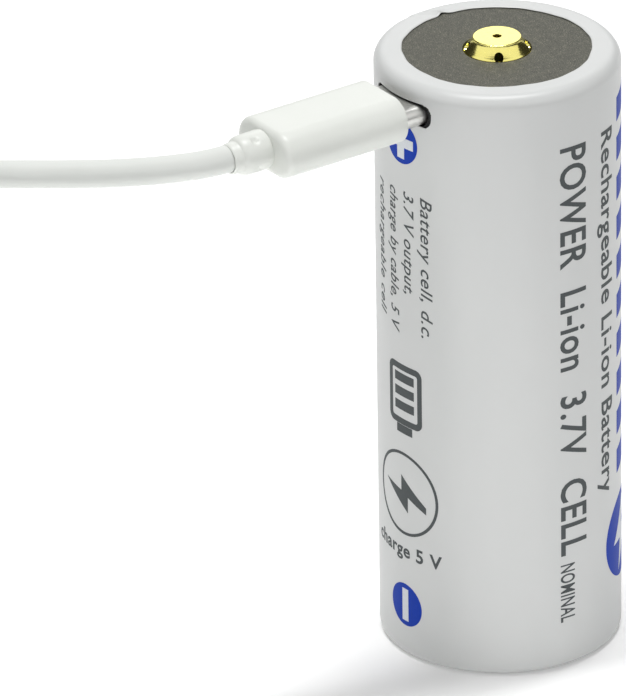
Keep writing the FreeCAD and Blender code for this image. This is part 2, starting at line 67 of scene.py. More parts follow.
def make_camera():
    """Long lens looking down at the cell.  Its axes are the view's right, up and back directions,
    turned about the line of sight by the roll."""
    across = Vector((math.cos(CAMERA_AZIMUTH), math.sin(CAMERA_AZIMUTH), 0))
    ahead = Vector((-math.sin(CAMERA_AZIMUTH), math.cos(CAMERA_AZIMUTH), 0))
    back = -ahead * math.cos(CAMERA_ELEVATION) + Vector((0, 0, math.sin(CAMERA_ELEVATION)))
    level_up = back.cross(across)
    right = across * math.cos(CAMERA_ROLL) + level_up * math.sin(CAMERA_ROLL)
    up = back.cross(right)
    lens = bpy.data.cameras.new("camera")
    lens.lens = CAMERA_LENS
    lens.sensor_width = 36.0
    lens.clip_start = 0.05
    lens.clip_end = 20.0
    camera = bpy.data.objects.new("camera", lens)
    camera.matrix_world = Matrix.Translation(CAMERA_TARGET + back * CAMERA_DISTANCE) @ Matrix(
        (right, up, back)).transposed().to_4x4()
    bpy.context.scene.collection.objects.link(camera)
    bpy.context.scene.camera = camera


# ---------------------------------------------------------------- sizes
def low(node):
    """Lowest corner of a node."""
    return np.array(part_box(node)[0])


def high(node):
    """Highest corner of a node."""
    return np.array(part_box(node)[1])


SLEEVE_RADIUS = high("wrap_sleeve")[0]
SLEEVE_BOTTOM = low("wrap_sleeve")[2]
SLEEVE_TOP = high("wrap_sleeve")[2]
SLEEVE_WALL = 0.12 * MM
LIP_RADIUS = 10.29 * MM
FOOT_RADIUS = 9.3 * MM
HEEL_ROUND = 0.9 * MM
SHOULDER_ROUND = 1.4 * MM
WASHER_TOP = high("top_washer")[2]
BUTTON_TOP = high("positive_button")[2]
PORT_HEIGHT = (low("plug_shell")[2] + high("plug_shell")[2]) / 2
GRIP_FACE = high("plug_grip")[1]
GRIP_REAR = low("plug_grip")[1]
GRIP_WIDTH = high("plug_grip")[0] - low("plug_grip")[0]
GRIP_THICKNESS = high("plug_grip")[2] - low("plug_grip")[2]
CABLE_DIAMETER = 3.0 * MM
COIL_CENTRE = (low("cable_coil") + high("cable_coil")) / 2
COIL_OUTER = (high("cable_coil")[0] - low("cable_coil")[0]) / 2 - CABLE_DIAMETER / 2
COIL_INNER = COIL_OUTER - CABLE_DIAMETER

# ---------------------------------------------------------------- cable
RUN_ROUTE = [
    (0.0, -30.8, 66.1),
    (0.0, -36.6, 66.1),
    (-1.95, -42.3, 66.1),
    (-5.15, -48.05, 66.1),
    (-10.2, -54.8, 66.1),
    (-14.9, -60.9, 66.1),
    (-18.55, -66.0, 63.6),
    (-21.3, -70.0, 58.8),
    (-22.7, -72.4, 52.6),
    (-23.05, -73.5, 41.7),
    (-23.0, -73.9, 29.2),
    (-23.1, -74.2, 16.5),
    (-22.9, -76.7, 9.9),
    (-22.3, -81.5, 4.8),
    (-21.2, -87.9, 1.9),
]
TAIL_ROUTE = [
    (16.0, -90.4, 4.5),
    (16.0, -76.6, 3.8),
    (6.2, -66.8, 3.2),
    (-7.6, -66.8, 6.0),
    (-17.4, -76.6, 9.85),
    (-17.4, -90.4, 9.85),
]
COIL_TURNS = 3.5
POINTS_PER_TURN = 16
COIL_SPREAD = 1.016           # makes up for the spline cutting inside its points


def ease(value, start, end):
    """0 before start, 1 after end, and 3t^2 - 2t^3 between them."""
    step = np.clip((value - start) / (end - start), 0, 1)
    return step * step * (3 - 2 * step)


def coil_points():
    """Turns of the coil, from where the cable lands on its -X side, counter-clockwise.

    Two turns lie on the floor, the outer one first, then one and a half on top of them, the
    inner one first.  The angle grows evenly; the radius and the height change by easing.
    """
    turns = np.arange(0.06, COIL_TURNS - 0.02, 1 / POINTS_PER_TURN)
    inward = ease(turns, 0.80, 1.0) - ease(turns, 2.70, 2.95)
    radius = (COIL_OUTER - (COIL_OUTER - COIL_INNER) * inward) * COIL_SPREAD
    height = CABLE_DIAMETER * (0.5 + ease(turns, 1.60, 1.88))
    angle = math.pi + TAU * turns
    return np.stack([COIL_CENTRE[0] + radius * np.cos(angle),
                     COIL_CENTRE[1] + radius * np.sin(angle), height + 0.02 * MM], axis=1)


def make_cable():
    """The whole cable as one smooth open spline with its route's points as control points."""
    points = np.concatenate([np.array(RUN_ROUTE) * MM, coil_points(), np.array(TAIL_ROUTE) * MM])
    curve = bpy.data.curves.new("charging_cable", "CURVE")
    curve.dimensions = "3D"
    curve.bevel_depth = CABLE_DIAMETER / 2
    curve.bevel_resolution = 8
    curve.resolution_u = 10
    curve.use_fill_caps = True
    spline = curve.splines.new("NURBS")
    spline.points.add(len(points) - 1)
    spline.points.foreach_set("co", np.column_stack([points, np.ones(len(points))]).ravel())
    spline.order_u = 3
    spline.use_endpoint_u = True
    cable = bpy.data.objects.new("charging_cable", curve)
    bpy.context.scene.collection.objects.link(cable)
    return cable


make_camera()
cable = make_cable()


# ---------------------------------------------------------------- materials
def linear(red, green, blue):
    """Linear colour of a display colour given from 0 to 255."""
    scaled = np.array([red, green, blue]) / 255
    flat = np.where(scaled <= 0.04045, scaled / 12.92, ((scaled + 0.055) / 1.055) ** 2.4)
    return (*flat, 1.0)


class Wire:
    """One output socket of a material.  Arithmetic on it adds Math nodes."""

    def __init__(self, tree, socket):
        self.tree = tree
        self.socket = socket

    def combine(self, operation, first, second):
        node = self.tree.nodes.new("ShaderNodeMath")
        node.operation = operation
        connect(self.tree, first, node.inputs[0])
        connect(self.tree, second, node.inputs[1])
        return Wire(self.tree, node.outputs[0])

    def __add__(self, other):
        return self.combine("ADD", self, other)

    def __radd__(self, other):
        return self.combine("ADD", other, self)

    def __sub__(self, other):
        return self.combine("SUBTRACT", self, other)

    def __rsub__(self, other):
        return self.combine("SUBTRACT", other, self)

    def __mul__(self, other):
        return self.combine("MULTIPLY", self, other)

    def __rmul__(self, other):
        return self.combine("MULTIPLY", other, self)

    def __pow__(self, other):
        return self.combine("POWER", self, other)

    def __gt__(self, other):
        return self.combine("GREATER_THAN", self, other)


def connect(tree, value, socket):
    """Links a wire to a socket, or sets a plain value on it."""
    if isinstance(value, Wire):
        tree.links.new(value.socket, socket)
    else:
        socket.default_value = value


class Finish:
    """A material: its node tree and its one surface shader."""

    def __init__(self, name, **constants):
        self.material = bpy.data.materials.new(name)
        self.material.use_nodes = True
        self.tree = self.material.node_tree
        self.shader = self.tree.nodes["Principled BSDF"]
        for socket, value in constants.items():
            self.shader.inputs[socket.replace("_", " ")].default_value = value

    def node(self, kind, settings=None, inputs=None, output=0):
        """Adds any node.  Settings are set first; "stops" are a colour ramp's positions and
        colours.  Inputs are values or wires by socket name or number."""
        made = self.tree.nodes.new(kind)
        for key, value in (settings or {}).items():
            if key == "stops":
                ramp = made.color_ramp
                while len(ramp.elements) < len(value):
                    ramp.elements.new(0.5)
                for element, (position, colour) in zip(ramp.elements, value):
                    element.position = position
                    element.color = colour
            else:
                setattr(made, key, value)
        for key, value in (inputs or {}).items():
            connect(self.tree, value, made.inputs[key])
        return Wire(self.tree, made.outputs[output])

    def place(self):
        """Position in the model's own frame, in metres."""
        return self.node("ShaderNodeTexCoord", output="Object")

    def axes(self):
        """The three coordinates of the position."""
        split = self.tree.nodes.new("ShaderNodeSeparateXYZ")
        connect(self.tree, self.place(), split.inputs[0])
        return [Wire(self.tree, socket) for socket in split.outputs]

    def noise(self, grain, detail=3.0, stretch=(1, 1, 1)):
        """Noise from 0 to 1 whose features are about grain metres across, longer along an axis
        whose stretch is larger."""
        spread = self.node("ShaderNodeMapping", inputs={
            "Vector": self.place(), "Scale": [1 / factor for factor in stretch]})
        return self.node("ShaderNodeTexNoise", inputs={
            "Vector": spread, "Scale": 1 / grain, "Detail": detail, "Roughness": 0.55})

    def mix(self, factor, first, second):
        """First colour where the factor is 0, second where it is 1."""
        return self.node("ShaderNodeMix", {"data_type": "RGBA"}, {
            "Factor": factor, 6: first, 7: second}, output=2)

    def ramp(self, factor, *stops):
        """Colour ramp of the factor."""
        return self.node("ShaderNodeValToRGB", {"stops": stops}, {"Fac": factor})

    def colour(self, value):
        connect(self.tree, value, self.shader.inputs["Base Color"])

    def tones(self, factor, first, second):
        """Colours the surface from a first display colour to a second by the factor."""
        self.colour(self.mix(factor, linear(*first), linear(*second)))

    def stripes(self, distance, pitch):
        """Sine of a distance, one wave for each pitch."""
        return self.node("ShaderNodeMath", {"operation": "SINE"}, {0: distance * (TAU / pitch)})

    def roughness(self, value):
        connect(self.tree, value, self.shader.inputs["Roughness"])

    def relief(self, height, depth):
        """Bump of that many metres where the height goes from 0 to 1."""
        bump = self.node("ShaderNodeBump", inputs={
            "Height": height, "Distance": depth, "Strength": 1.0})
        connect(self.tree, bump, self.shader.inputs["Normal"])


def sleeve_film():
    """Printed shrink film: satin, faintly mottled, with the can's fine unevenness under it."""
    film = Finish("sleeve_film", Coat_Weight=0.1, Coat_Roughness=0.3)
    cloud = film.noise(7 * MM, 2.0, (1, 1, 3))
    fine = film.noise(0.35 * MM, 4.0)
    film.tones(cloud, (198, 200, 199), (205, 206, 205))
    film.roughness(0.36 + 0.10 * fine + 0.06 * cloud)
    film.relief(0.7 * film.noise(1.6 * MM, 2.0, (1, 1, 4)) + 0.3 * fine, 0.012 * MM)
    return film


def ink(name, colour):
    """Printed ink: thin, a little uneven in tone."""
    print_ink = Finish(name, Specular_IOR_Level=0.06)
    tone = print_ink.noise(0.25 * MM, 3.0)
    pale = tuple(min(1.0, channel * 1.2 + 0.004) for channel in colour[:3]) + (1.0,)
    print_ink.colour(print_ink.mix(tone ** 2.0, colour, pale))
    print_ink.roughness(0.38 + 0.14 * tone)
    print_ink.relief(tone, 0.003 * MM)
    return print_ink


def washer_fibre():
    """Hard grey fibre board with a fine light and dark speckle."""
    fibre = Finish("washer_fibre", Specular_IOR_Level=0.3)
    speck = fibre.noise(0.13 * MM, 2.0)
    patch = fibre.noise(0.7 * MM, 3.0)
    tone = 0.75 * speck + 0.25 * patch
    fibre.colour(fibre.ramp(tone, (0.32, linear(44, 44, 39)), (0.45, linear(79, 79, 72)),
                            (0.55, linear(91, 91, 82)), (0.66, linear(132, 129, 116))))
    fibre.roughness(0.52 + 0.2 * patch)
    fibre.relief(tone, 0.03 * MM)
    return fibre


def gold_plate():
    """Polished gold plate with faint turning rings."""
    gold = Finish("gold_plate", Metallic=1.0)
    x, y, _ = gold.axes()
    radius = (x * x + y * y) ** 0.5
    rings = gold.stripes(radius, 0.16 * MM)
    haze = gold.noise(0.6 * MM, 3.0)
    gold.tones(haze, (248, 236, 132), (254, 244, 154))
    gold.roughness(0.13 + 0.10 * haze)
    gold.relief(0.5 * rings + 0.4 * haze, 0.0012 * MM)
    return gold


def moulded(name, first, second, rough, depth=0.01 * MM, grain=0.25 * MM, **constants):
    """Moulded plastic: two close colours in soft clouds and a fine spark-eroded grain."""
    plastic = Finish(name, **constants)
    cloud = plastic.noise(5 * MM, 2.0)
    fine = plastic.noise(grain, 3.0)
    plastic.tones(cloud, first, second)
    plastic.roughness(rough + 0.12 * fine)
    plastic.relief(fine, depth)
    return plastic


def drawn_metal(name, first, second, rough, stretch):
    """Rolled or drawn metal: fine scratches, long where the stretch is large, and a cloudy
    sheen."""
    metal = Finish(name, Metallic=1.0)
    lines = metal.noise(0.09 * MM, 3.0, stretch)
    haze = metal.noise(2.5 * MM, 3.0)
    metal.tones(0.6 * lines + 0.4 * haze, first, second)
    metal.roughness(rough + 0.16 * haze + 0.08 * lines)
    metal.relief(lines, 0.002 * MM)
    return metal


def cable_jacket():
    """Soft white jacket: satin, with faint long waves from the extruder."""
    jacket = Finish("cable_jacket", Specular_IOR_Level=0.3)
    cloud = jacket.noise(6 * MM, 2.0)
    fine = jacket.noise(0.3 * MM, 3.0)
    jacket.tones(cloud, (208, 211, 207), (217, 219, 215))
    jacket.roughness(0.5 + 0.12 * fine)
    jacket.relief(0.6 * cloud + 0.4 * fine, 0.01 * MM)
    return jacket


def laminate():
    """Green solder mask over copper: pale tracks show through in two directions."""
    board = Finish("laminate", Coat_Weight=0.5, Coat_Roughness=0.15)
    x, y, _ = board.axes()
    across = board.stripes(x, 1.1 * MM)
    along = board.stripes(y, 1.3 * MM)
    choice = board.noise(3 * MM, 0.0) > 0.5
    track = (across * choice + along * (1 - choice)) > 0.72
    board.tones(track, (18, 74, 40), (40, 112, 62))
    board.roughness(0.32 + 0.1 * board.noise(0.4 * MM))
    board.relief(track, 0.02 * MM)
    return board


def fired(name, first, second, rough):
    """Fired or sintered body: fine grain with darker pores."""
    body = Finish(name)
    grain = body.noise(0.08 * MM, 4.0)
    body.tones(grain, first, second)
    body.roughness(rough + 0.2 * grain)
    body.relief(grain, 0.008 * MM)
    return body


def coated_foil(name, first, second):
    """Electrode: matt coating with faint vertical calender lines."""
    foil = Finish(name)
    lines = foil.noise(0.2 * MM, 3.0, (1, 1, 30))
    foil.tones(lines, first, second)
    foil.roughness(0.6 + 0.2 * lines)
    foil.relief(lines, 0.004 * MM)
    return foil


# The finishes by slot.  Each row of the tables starts with two display colours.  Every row but
# a foil's goes on with the roughness, and a metal's ends with how far the scratches are
# stretched along X, Y and Z.
METALS = {
    "turned_brass": ((196, 160, 84), (220, 188, 112), 0.22, (1, 1, 0.3)),
    "nickel_strip": ((196, 194, 184), (222, 220, 212), 0.28, (1, 1, 25)),
    "nickel_steel": ((188, 188, 184), (214, 214, 210), 0.26, (12, 1, 1)),
    "plug_steel": ((206, 206, 202), (232, 232, 228), 0.20, (1, 25, 1)),
    "gold_contacts": ((226, 190, 96), (246, 216, 130), 0.2, (1, 20, 1)),
    "header_aluminium": ((212, 213, 214), (232, 233, 234), 0.3, (1, 1, 1)),
}
PLASTICS = {
    "gasket_plastic": ((196, 200, 194), (212, 214, 208), 0.35),
    "contact_plastic": ((14, 14, 15), (26, 26, 28), 0.4),
    "light_lens": ((232, 228, 186), (244, 240, 206), 0.12),
    "thermal_polymer": ((40, 40, 41), (56, 56, 58), 0.5),
    "separator_film": ((236, 238, 238), (246, 247, 247), 0.45),
    "wire_insulation": ((176, 26, 24), (196, 44, 38), 0.35),
}
FIRED_BODIES = {
    "fish_paper": ((86, 112, 92), (112, 136, 116), 0.6),
    "chip_epoxy": ((22, 22, 24), (38, 38, 41), 0.5),
    "ferrite": ((58, 58, 61), (88, 88, 92), 0.55),
    "capacitor_ceramic": ((168, 140, 104), (198, 172, 134), 0.4),
    "resistor_ceramic": ((18, 18, 20), (34, 34, 38), 0.35),
}
FOILS = {
    "cathode_coating": ((42, 42, 44), (60, 60, 62)),
    "anode_coating": ((70, 62, 58), (92, 82, 76)),
}
FINISHES = {
    "sleeve_film": sleeve_film(),
    "washer_paper": washer_fibre(),
    "gold_plate": gold_plate(),
    "board_laminate": laminate(),
    "cable_jacket": cable_jacket(),
    "housing_plastic": moulded("housing_plastic", (14, 14, 15), (26, 26, 28), 0.32,
                               0.006 * MM, Specular_IOR_Level=0.25),
    "plug_plastic": moulded("plug_plastic", (214, 217, 211), (221, 223, 218), 0.34,
                            0.008 * MM, 0.22 * MM),
}
for kind, table in ((drawn_metal, METALS), (moulded, PLASTICS), (fired, FIRED_BODIES),
                    (coated_foil, FOILS)):
    FINISHES.update({slot: kind(slot, *values) for slot, values in table.items()})
INK_GREY = ink("ink_grey", linear(80, 84, 85))
INK_BLUE = ink("ink_blue", linear(24, 58, 160))
INK_WHITE = ink("ink_white", linear(206, 210, 214))


# ---------------------------------------------------------------- building blocks
def finish_piece(piece, finish, body, slot_name, *stands_for):
    """Gives a piece its material and body, and hides the CAD nodes it stands for."""
    piece.data.materials.clear()
    piece.data.materials.append(finish.material)
    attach(piece, body)
    if stands_for:
        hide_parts(*stands_for)
    return piece


def settle(mesh, sharp=35.0):
    """Merges doubled points, points the faces outwards and smooths all but sharp edges."""
    work = bmesh.new()
    work.from_mesh(mesh)
    bmesh.ops.remove_doubles(work, verts=work.verts, dist=1e-8)
    bmesh.ops.dissolve_degenerate(work, edges=work.edges, dist=1e-9)
    bmesh.ops.recalc_face_normals(work, faces=work.faces)
    work.to_mesh(mesh)
    work.free()
    mesh.shade_smooth()
    mesh.set_sharp_from_angle(angle=math.radians(sharp))


def surface(name, points, loop_rows=False):
    """Mesh object from an array of rows and columns of points; each row is a closed ring.

    Face (i, j) joins points (i, j), (i, j+1), (i+1, j+1) and (i+1, j).  With loop_rows the last
    row joins the first.
    """
    rows, columns, _ = points.shape
    row = np.arange(rows if loop_rows else rows - 1)[:, None]
    column = np.arange(columns)[None, :]
    below = (row + 1) % rows
    beside = (column + 1) % columns
    corners = [row * columns + column, row * columns + beside,
               below * columns + beside, below * columns + column]
    faces = np.stack([np.broadcast_to(corner, (len(row), columns)) for corner in corners], axis=-1)
    mesh = bpy.data.meshes.new(name)
    mesh.from_pydata(points.reshape(-1, 3).tolist(), [], faces.reshape(-1, 4).tolist())
    settle(mesh)
    piece = bpy.data.objects.new(name, mesh)
    bpy.context.scene.collection.objects.link(piece)
    return piece


def cut(piece, cutters):
    """Subtracts closed pieces from a piece and removes them."""
    for cutter in cutters:
        tool = piece.modifiers.new("cut", "BOOLEAN")
        tool.operation = "DIFFERENCE"
        tool.solver = "EXACT"
        tool.object = cutter
    graph = bpy.context.evaluated_depsgraph_get()
    result = bpy.data.meshes.new_from_object(piece.evaluated_get(graph))
    piece.modifiers.clear()
    piece.data = result
    for cutter in cutters:
        bpy.data.objects.remove(cutter)
    settle(result, 30.0)


def arc_points(centre, radius, start, end, steps):
    """Points on a circular arc, angles in degrees."""
    angle = np.radians(np.linspace(start, end, steps))
    return np.stack([centre[0] + radius * np.cos(angle),
                     centre[1] + radius * np.sin(angle)], axis=1)


def line_points(start, end, steps):
    """Evenly spaced points from start up to, not including, end."""
    share = np.linspace(0, 1, steps, endpoint=False)[:, None]
    return np.array(start) * (1 - share) + np.array(end) * share


def ring_angles(count):
    """Angles round a ring, offset by half a step so that none lies on an axis."""
    return (np.arange(count) + 0.5) * TAU / count


def outline(width, height, corner, angles):
    """Rounded rectangle: each quarter circle is shifted out to its own corner."""
    across = (width / 2 - corner) * np.sign(np.cos(angles)) + corner * np.cos(angles)
    upward = (height / 2 - corner) * np.sign(np.sin(angles)) + corner * np.sin(angles)
    return across, upward


def ripple(angle, waves):
    """Sum of sines round a ring; each wave is its size, its number round the ring, its phase."""
    return sum(size * np.sin(number * angle + phase) for size, number, phase in waves)


def lofted(name, rows, x, z):
    """Closed body along Y through rounded outlines.

    Each row is (y, width, height, corner radius); the first and last rows are shrunk to poles.
    """
    count = 96
    angles = ring_angles(count)
    points = np.empty((len(rows), count, 3))
    for number, (y, width, height, corner) in enumerate(rows):
        across, upward = outline(width, height, corner, angles)
        points[number] = np.stack([x + across, np.full(count, y), z + upward], axis=1)
    return surface(name, points)


# ---------------------------------------------------------------- sleeve
SLEEVE_COLUMNS = 360
WALL_ROWS = 60
MID_HEIGHT = 60 * MM          # the top fold is all above this height
PLEAT_ANGLE = math.pi
PLEAT_SLANT = 0.21            # how far round the crest moves from the lip to the wall
PLEAT_HEIGHT = 0.30 * MM
CREST_WIDTHS = (0.020, 0.050)  # its two sides, in radians
VALLEY_DEPTH = 0.05 * MM
FOLD_RISE = 0.06 * MM
LIP_WAVES = ((0.05, 5, 0.6), (0.03, 11, 2.0), (0.02, 23, 0.0))
SLOT_WAVES = ((0.03, 3, 0.4), (0.03, 8, 1.0), (0.02, 19, 0.0))
SLOT_WIDTH = 9.75 * MM
SLOT_HEIGHT = 2.78 * MM
SLOT_CORNER = 1.15 * MM
WAVE_DEPTH = 0.012 * MM
STRIP_DEPTH = 0.02 * MM
STRIP_SIDES = (1.7 * MM, 2.6 * MM)
STRIP_END = (64 * MM, 67 * MM)


def angle_from(angle, centre):
    """Signed difference of two angles, from -pi to pi."""
    return (angle - centre + math.pi) % TAU - math.pi


def sleeve_swell(angle, height):
    """How far the sleeve's wall stands out from its nominal radius: long shallow waves, and the
    flat strip that runs up under it and fades out level with the port."""
    waves = 0.5 * np.sin(3 * angle + 40 * height) + 0.3 * np.sin(7 * angle - 90 * height + 1.3)
    side = np.abs(angle_from(angle, math.pi)) * SLEEVE_RADIUS
    strip = (1 - ease(side, *STRIP_SIDES)) * (1 - ease(height, *STRIP_END))
    return WAVE_DEPTH * (waves - 0.8) + STRIP_DEPTH * strip


def make_sleeve():
    """Shrink sleeve: a thin wall carried round the cell, folded over both ends.

    The wall's middle line is the profile; its two faces lie half a wall to each side.  At the
    back the lip is gathered into a slanting pleat whose crest stands up and whose inner end is
    drawn back from the washer.  The port's slot is cut with a slightly ragged outline.
    """
    half = SLEEVE_WALL / 2
    heel = HEEL_ROUND - half
    shoulder = SHOULDER_ROUND - half
    wall = SLEEVE_RADIUS - half
    foot = SLEEVE_BOTTOM + half
    head = SLEEVE_TOP - half
    heel_centre = (wall - heel, foot + heel)
    shoulder_centre = (wall - shoulder, head - shoulder)
    profile = np.concatenate([
        line_points((FOOT_RADIUS, foot), (heel_centre[0], foot), 6),
        arc_points(heel_centre, heel, -90, 0, 12)[:-1],
        line_points((wall, heel_centre[1]), (wall, shoulder_centre[1]), WALL_ROWS),
        arc_points(shoulder_centre, shoulder, 0, 90, 22)[:-1],
        line_points((shoulder_centre[0], head), (LIP_RADIUS, head), 16),
        [(LIP_RADIUS + 0.03 * MM, head - 0.02 * MM), (LIP_RADIUS, head - 0.05 * MM)],
    ])
    tangent = np.gradient(profile, axis=0)
    tangent /= np.linalg.norm(tangent, axis=1)[:, None]
    normal = np.stack([tangent[:, 1], -tangent[:, 0]], axis=1)
    angle = (np.arange(SLEEVE_COLUMNS) * TAU / SLEEVE_COLUMNS)[None, :]
    radius = profile[:, 0][:, None]
    height = profile[:, 1][:, None]
    at_top = height > MID_HEIGHT
    on_lip = ease(radius, wall, LIP_RADIUS) * at_top
    on_wall = ease(radius, LIP_RADIUS + 1.2 * MM, wall)

    notch = 0.5 * np.exp(-(angle_from(angle, PLEAT_ANGLE - 0.035) / 0.06) ** 2)
    near_lip = ease(radius, LIP_RADIUS + 1.5 * MM, LIP_RADIUS) * at_top
    drawn_back = (ripple(angle, LIP_WAVES) + notch) * MM * near_lip

    crest_angle = PLEAT_ANGLE + PLEAT_SLANT * ease(radius, LIP_RADIUS, wall)
    off_crest = angle_from(angle, crest_angle)
    crest = np.exp(-np.abs(off_crest / np.where(off_crest > 0, *CREST_WIDTHS)) ** 1.4)
    valley = np.exp(-(angle_from(angle, crest_angle + 0.06) / 0.03) ** 2)
    reach = at_top * ease(height, head - 3.2 * MM, head - 0.4 * MM)
    lift = PLEAT_HEIGHT * crest * reach * (0.15 + 0.85 * on_lip ** 2) + FOLD_RISE * on_lip ** 3
    lift = lift - VALLEY_DEPTH * valley * reach

    swell = sleeve_swell(angle, height) * on_wall
    faces = []
    for side in (half, -half):
        out = side + lift + swell
        spin_radius = radius + drawn_back + normal[:, 0][:, None] * out
        spin_height = height + normal[:, 1][:, None] * out
        faces.append(np.stack([spin_radius * np.cos(angle), spin_radius * np.sin(angle),
                               spin_height + 0 * angle], axis=2))
    sleeve = surface("shrink_sleeve", np.concatenate([faces[0], faces[1][::-1]]), loop_rows=True)
    cut(sleeve, [slot_cutter()])
    return finish_piece(sleeve, FINISHES["sleeve_film"], "cell", "sleeve_film", "wrap_sleeve")


def slot_cutter():
    """Ragged block in the shape of the port's slot: a rounded outline whose edge wanders and
    whose upper edge droops towards -X, shrunk to a pole at each end."""
    angles = ring_angles(160)
    across, upward = outline(SLOT_WIDTH, SLOT_HEIGHT, SLOT_CORNER, angles)
    wander = ripple(angles, SLOT_WAVES)
    droop = 0.15 * MM * ease(across, -1.0 * MM, -3.5 * MM) * (upward > 0)
    across = np.where(across < 0, 0.925, 1.0) * across * (1 + 0.10 * wander)
    upward = upward + wander * MM - droop + 0.08 * MM
    inner, outer = -10.0 * MM, -15.0 * MM
    rows = [np.stack([scale * across, np.full(len(angles), y),
                      PORT_HEIGHT + scale * upward], axis=1)
            for y, scale in ((inner, 0.0), (inner, 1.0), (outer, 1.0), (outer, 0.0))]
    return surface("slot_cutter", np.stack(rows))


# ---------------------------------------------------------------- button
CROWN_RADIUS = 2.5 * MM       # flat top, up to its rounded edge
CROWN_ROUND = 0.14 * MM
FLARE_RADIUS = 2.635          # the cone's radius at its top, and how much it grows, in
FLARE_GROWTH = 0.83           # millimetres
VENT_COUNT = 4
VENT_TURN = -33               # degrees from +X to the first vent
VENT_RADIUS = 0.5             # these three in millimetres
VENT_HEIGHT = 0.3
VENT_REACH = (2.4, 4.6)


def make_button():
    """Contact cap: a closed profile spun about the axis, then four vents cut at its foot.

    The cone's radius grows as the 1.35th power of the way down.
    """
    top = BUTTON_TOP
    base = WASHER_TOP
    outside = np.concatenate([
        [(0.45 * MM, top - 0.05 * MM), (0.50 * MM, top)],
        line_points((0.6 * MM, top), (CROWN_RADIUS, top), 4),
        arc_points((CROWN_RADIUS, top - CROWN_ROUND), CROWN_ROUND, 90, 15, 7),
    ])
    down = np.linspace(0, 1, 14)[1:]
    flare = np.stack([(FLARE_RADIUS + FLARE_GROWTH * down ** 1.35) * MM,
                      top - 0.1 * MM - (top - base - 0.2 * MM) * down], axis=1)
    # Radius in millimetres and height, down the foot, round the flange and back up inside.
    inside = [(3.55, base - 0.02 * MM), (3.55, base - 0.53 * MM), (5.0, base - 0.53 * MM),
              (5.0, base - 0.9 * MM), (3.15, base - 0.9 * MM), (3.1, base - 0.1 * MM),
              (2.3, top - 0.6 * MM), (2.1, top - 0.4 * MM), (0.45, top - 0.4 * MM)]
    inside = np.array([(radius * MM, height) for radius, height in inside])
    radius, height = np.concatenate([outside, flare, inside]).T[:, :, None]
    angle = np.arange(192) * TAU / 192
    points = np.stack([radius * np.cos(angle), radius * np.sin(angle), height + 0 * angle], axis=2)
    button = surface("contact_button", points, loop_rows=True)
    turns = np.arange(VENT_COUNT) * 360 / VENT_COUNT + VENT_TURN
    cut(button, [vent_cutter(math.radians(turn)) for turn in turns])
    return finish_piece(button, FINISHES["gold_plate"], "cell", "gold_plate", "positive_button")


def vent_cutter(direction):
    """Round rod lying near the washer and pointing outwards, closed by a pole at each end."""
    angles = ring_angles(40)
    inner, outer = VENT_REACH
    rows = []
    for reach, radius in ((inner, 0.0), (inner, VENT_RADIUS), (outer, VENT_RADIUS), (outer, 0.0)):
        side = radius * np.cos(angles)
        lift = radius * np.sin(angles)
        rows.append(np.stack([
            (reach * math.cos(direction) - side * math.sin(direction)) * MM,
            (reach * math.sin(direction) + side * math.cos(direction)) * MM,
            WASHER_TOP + (VENT_HEIGHT + lift) * MM], axis=1))
    return surface("vent_cutter", np.stack(rows))


# ---------------------------------------------------------------- plugs and collars
POCKET_DEPTH = 2.8 * MM
PLUG_POCKET = (8.27 * MM, 2.42 * MM, 1.2 * MM)      # width, height and corner radius
SUPPLY_POCKET = (12.02 * MM, 4.52 * MM, 0.3 * MM)
PLUG_EDGES = (0.22 * MM, 0.8 * MM)                  # edge radii at the front and the rear
SUPPLY_EDGES = (-0.5 * MM, -0.9 * MM)
SUPPLY_CORNER = 1.6 * MM
COLLAR_LENGTH = 4.5 * MM
BARREL_RADIUS = 2.2 * MM
# Distance along the collar and its radius there, in millimetres.
BARREL = [(0, 2.14), (0.15, 2.16), (0.4, 2.19), (0.7, 2.2), (1.0, 2.2), (1.3, 2.2), (1.6, 2.2),
          (1.9, 2.2), (2.2, 2.2), (2.5, 2.19), (2.8, 2.16), (3.05, 2.10), (3.25, 2.0),
          (3.38, 1.88), (3.44, 1.78), (3.5, 1.74), (3.9, 1.73), (4.2, 1.71), (4.4, 1.65),
          (4.5, 1.54)]
DIMPLE_COUNT = 4
DIMPLE_TURN = 58              # degrees from +X to the first dimple
DIMPLE_PLACE = 1.75 * MM
DIMPLE_DEPTH = 0.26 * MM
DIMPLE_SIZE = (0.42 * MM, 0.30 * MM)


def make_grip(name, front, rear, size, corner, edges, pocket, x, z, node):
    """Moulded grip: a rounded outline carried from its rear pole to its front face and then
    back down the walls of the pocket that holds the steel shell.

    The outline's inset at an edge follows a quarter circle of that edge's radius.  A grip that
    faces -Y has negative radii: its outline then widens at the edges by as much, and the
    pocket's walls stand out in front of the face.
    """
    width, height = size
    front_edge, rear_edge = edges
    rows = [(rear, 0.0, 0.0, 0.0)]
    for share in (0.35, 0.7):
        rows.append((rear, share * (width - 2 * rear_edge), share * (height - 2 * rear_edge),
                     share * (corner - rear_edge)))
    for angle in np.linspace(0, math.pi / 2, 9):
        inset = rear_edge * (1 - math.sin(angle))
        rows.append((rear + rear_edge * (1 - math.cos(angle)),
                     width - 2 * inset, height - 2 * inset, corner - inset))
    for share in np.linspace(0, 1, 14)[1:-1]:
        rows.append((rear + rear_edge + share * (front - front_edge - rear - rear_edge),
                     width, height, corner))
    for angle in np.linspace(0, math.pi / 2, 7):
        inset = front_edge * (1 - math.cos(angle))
        rows.append((front - front_edge * (1 - math.sin(angle)),
                     width - 2 * inset, height - 2 * inset, corner - inset))
    rows.append((front, *pocket))
    rows.append((front - POCKET_DEPTH, *pocket))
    rows.append((front - POCKET_DEPTH, 0.0, 0.0, 0.0))
    grip = lofted(name, rows, x, z)
    return finish_piece(grip, FINISHES["plug_plastic"], "charging_cable", "plug_plastic", node)


